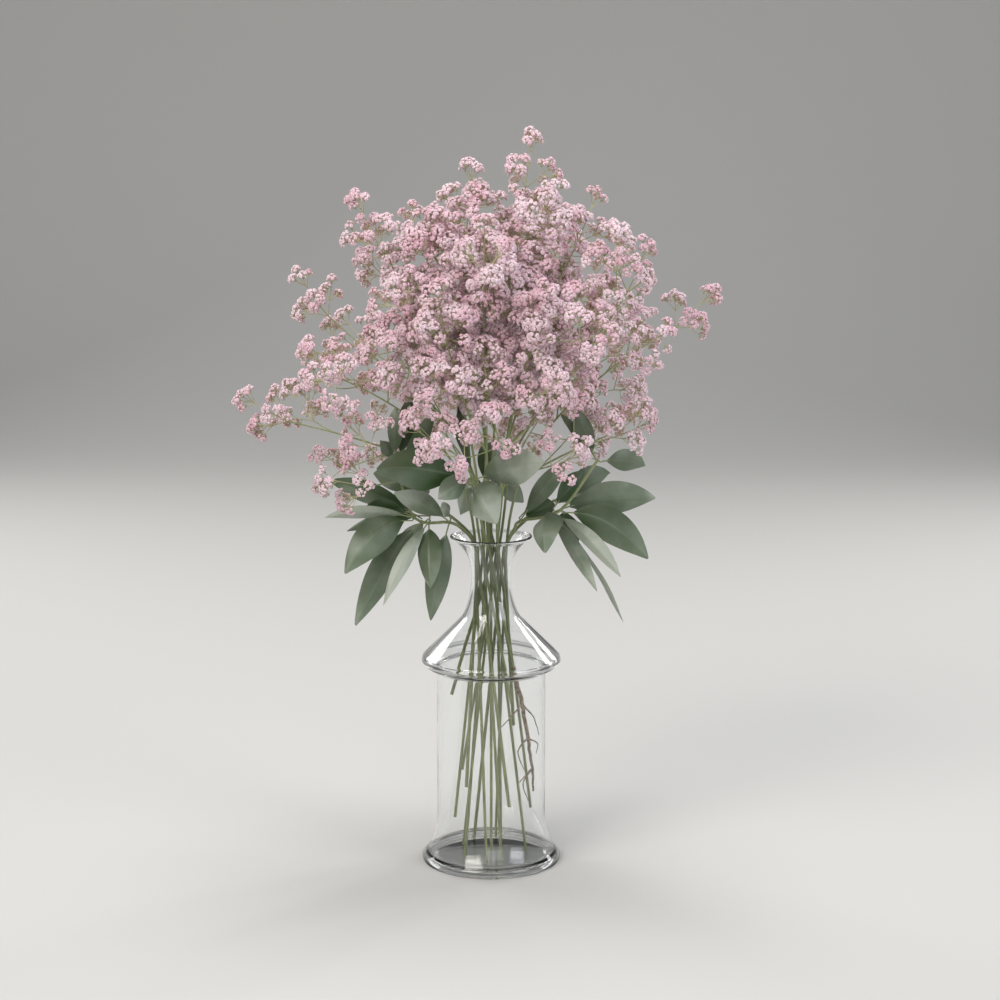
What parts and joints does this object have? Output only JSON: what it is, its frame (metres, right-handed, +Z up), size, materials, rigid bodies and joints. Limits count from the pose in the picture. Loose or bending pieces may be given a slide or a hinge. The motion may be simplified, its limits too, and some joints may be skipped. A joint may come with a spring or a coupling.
{
  "type": "gypsophila stem",
  "caption": "Pink gypsophila sprays and broad grey-green leaves standing in a clear glass bottle with a ringed shoulder, as an airy table arrangement.",
  "frame": {"origin": "centre of the bottle's foot, on the surface that it stands on", "axes": "+Z up along the bottle's axis, and the front of the arrangement faces -Y"},
  "size_m": [0.4328, 0.3447, 0.6664],
  "materials": {
    "flower": "matte",
    "leaf": "satin",
    "root": "matte",
    "glass": "gloss"
  },
  "bodies": {
    "root": {"flower_spray_top": "flower", "flower_spray_left_high": "flower", "flower_spray_front_high": "flower", "flower_spray_right_high": "flower", "flower_spray_right_back": "flower", "flower_spray_back_high": "flower", "flower_spray_left_low": "flower", "flower_spray_front_low": "flower", "flower_spray_front_right": "flower", "flower_spray_right_low": "flower", "flower_spray_back_right": "flower", "flower_spray_back_left": "flower", "leafy_stem_left": "leaf", "leafy_stem_front": "leaf", "leafy_stem_right": "leaf", "leafy_stem_back_right": "leaf", "leafy_stem_back": "leaf", "leafy_stem_back_left": "leaf", "root": "root", "glass_vase": "glass"}
  },
  "joints": []
}
